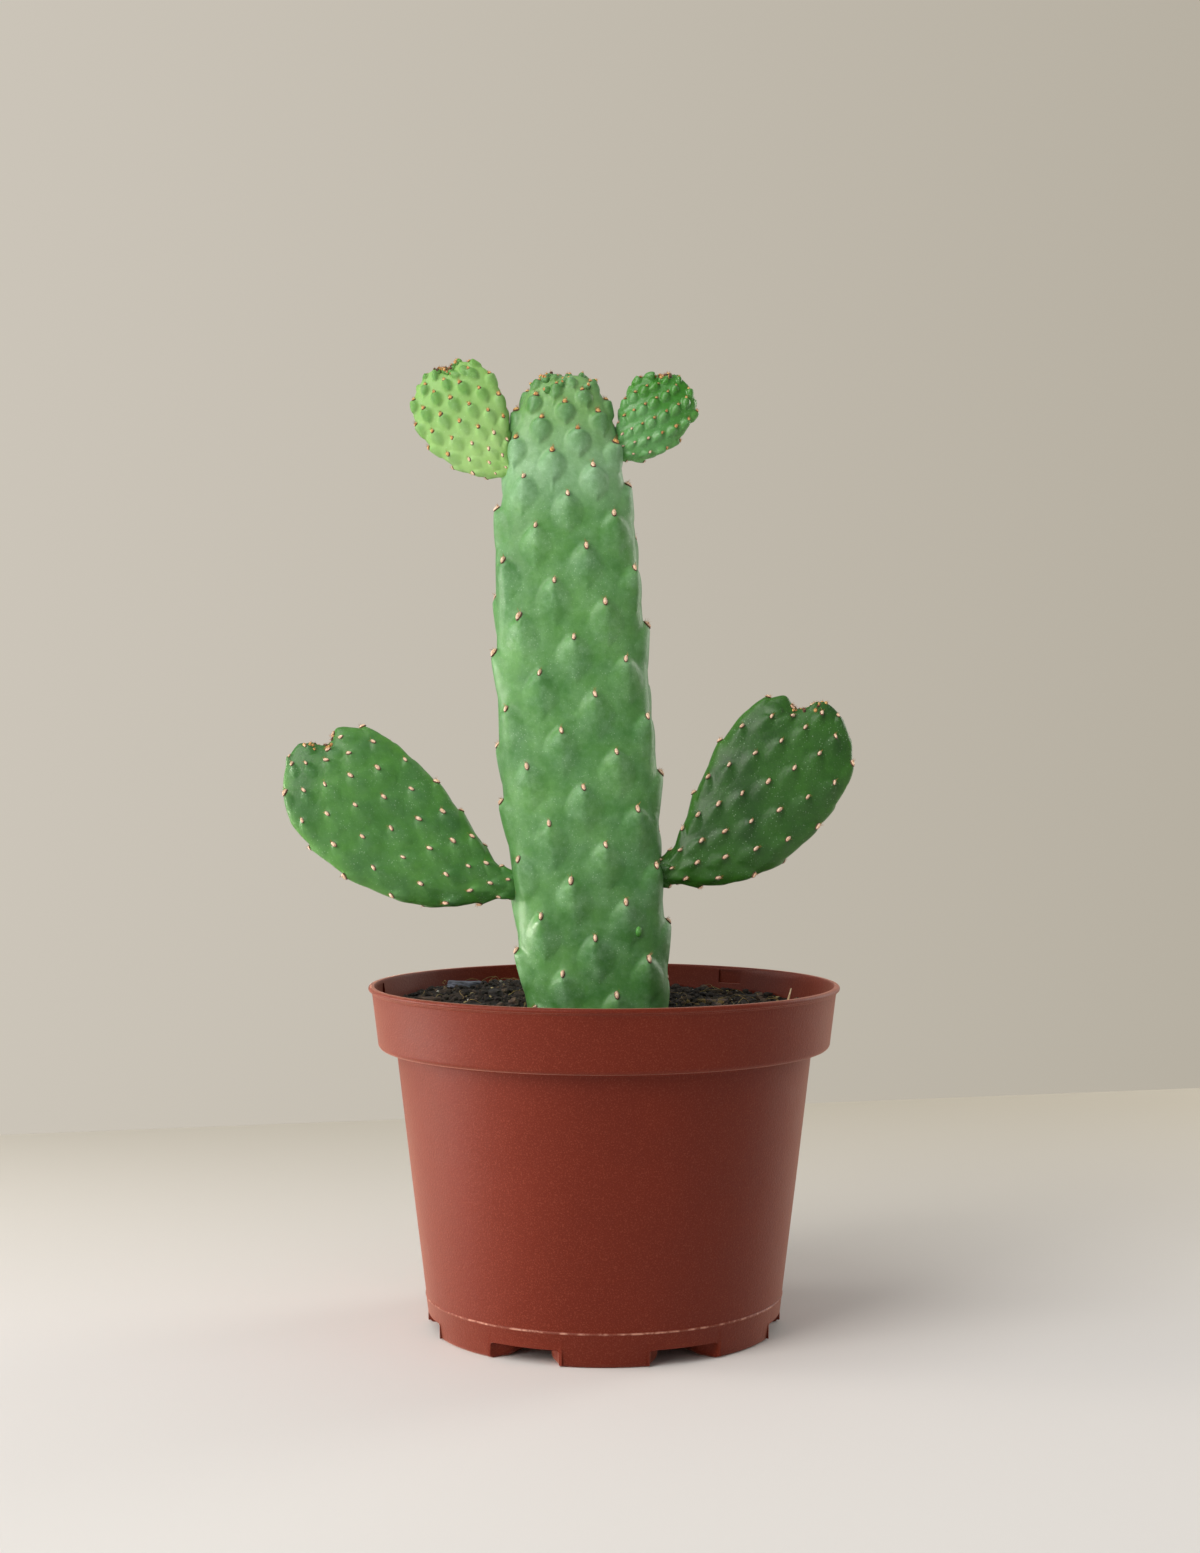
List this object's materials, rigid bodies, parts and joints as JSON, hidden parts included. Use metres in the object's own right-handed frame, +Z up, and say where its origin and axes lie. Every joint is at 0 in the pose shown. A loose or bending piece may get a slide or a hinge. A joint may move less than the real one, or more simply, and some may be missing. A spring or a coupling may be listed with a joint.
{
  "type": "potted paddle cactus",
  "caption": "Young paddle cactus: a tall club-shaped stem pad with side pads, rooted in mix in a tapered terracotta-coloured plastic nursery pot with a collared rim.",
  "frame": {"origin": "centre of the pot's flat underside, on the surface that the pot stands on", "axes": "+Z up along the pot's axis; the broad front faces of the pads look towards -Y, +X to the right seen from the front"},
  "size_m": [0.1824, 0.15, 0.3066],
  "materials": {
    "pot_plastic": "matte moulded polypropylene, brick red-brown with a fine speckle",
    "stem_skin": "satin waxy plant skin with a pale bloom and tan areoles",
    "young_skin": "glossy young plant skin, yellow-green",
    "potting_mix": "dark damp peat and composted bark",
    "root_bark": "dry fibrous root bark",
    "bark": "rough composted bark"
  },
  "bodies": {
    "root": {"pot": "pot_plastic", "soil": "potting_mix", "roots": "root_bark", "main_stem": "stem_skin", "lower_left_pad": "stem_skin", "lower_right_pad": "stem_skin", "upper_left_pad": "young_skin", "upper_right_pad": "young_skin", "bark_chip_01": "bark", "bark_chip_02": "bark", "bark_chip_03": "bark", "bark_chip_04": "bark", "bark_chip_05": "bark", "bark_chip_06": "bark", "bark_chip_07": "bark", "bark_chip_08": "bark", "bark_chip_09": "bark", "bark_chip_10": "bark", "bark_chip_11": "bark", "bark_chip_12": "bark"}
  },
  "joints": []
}
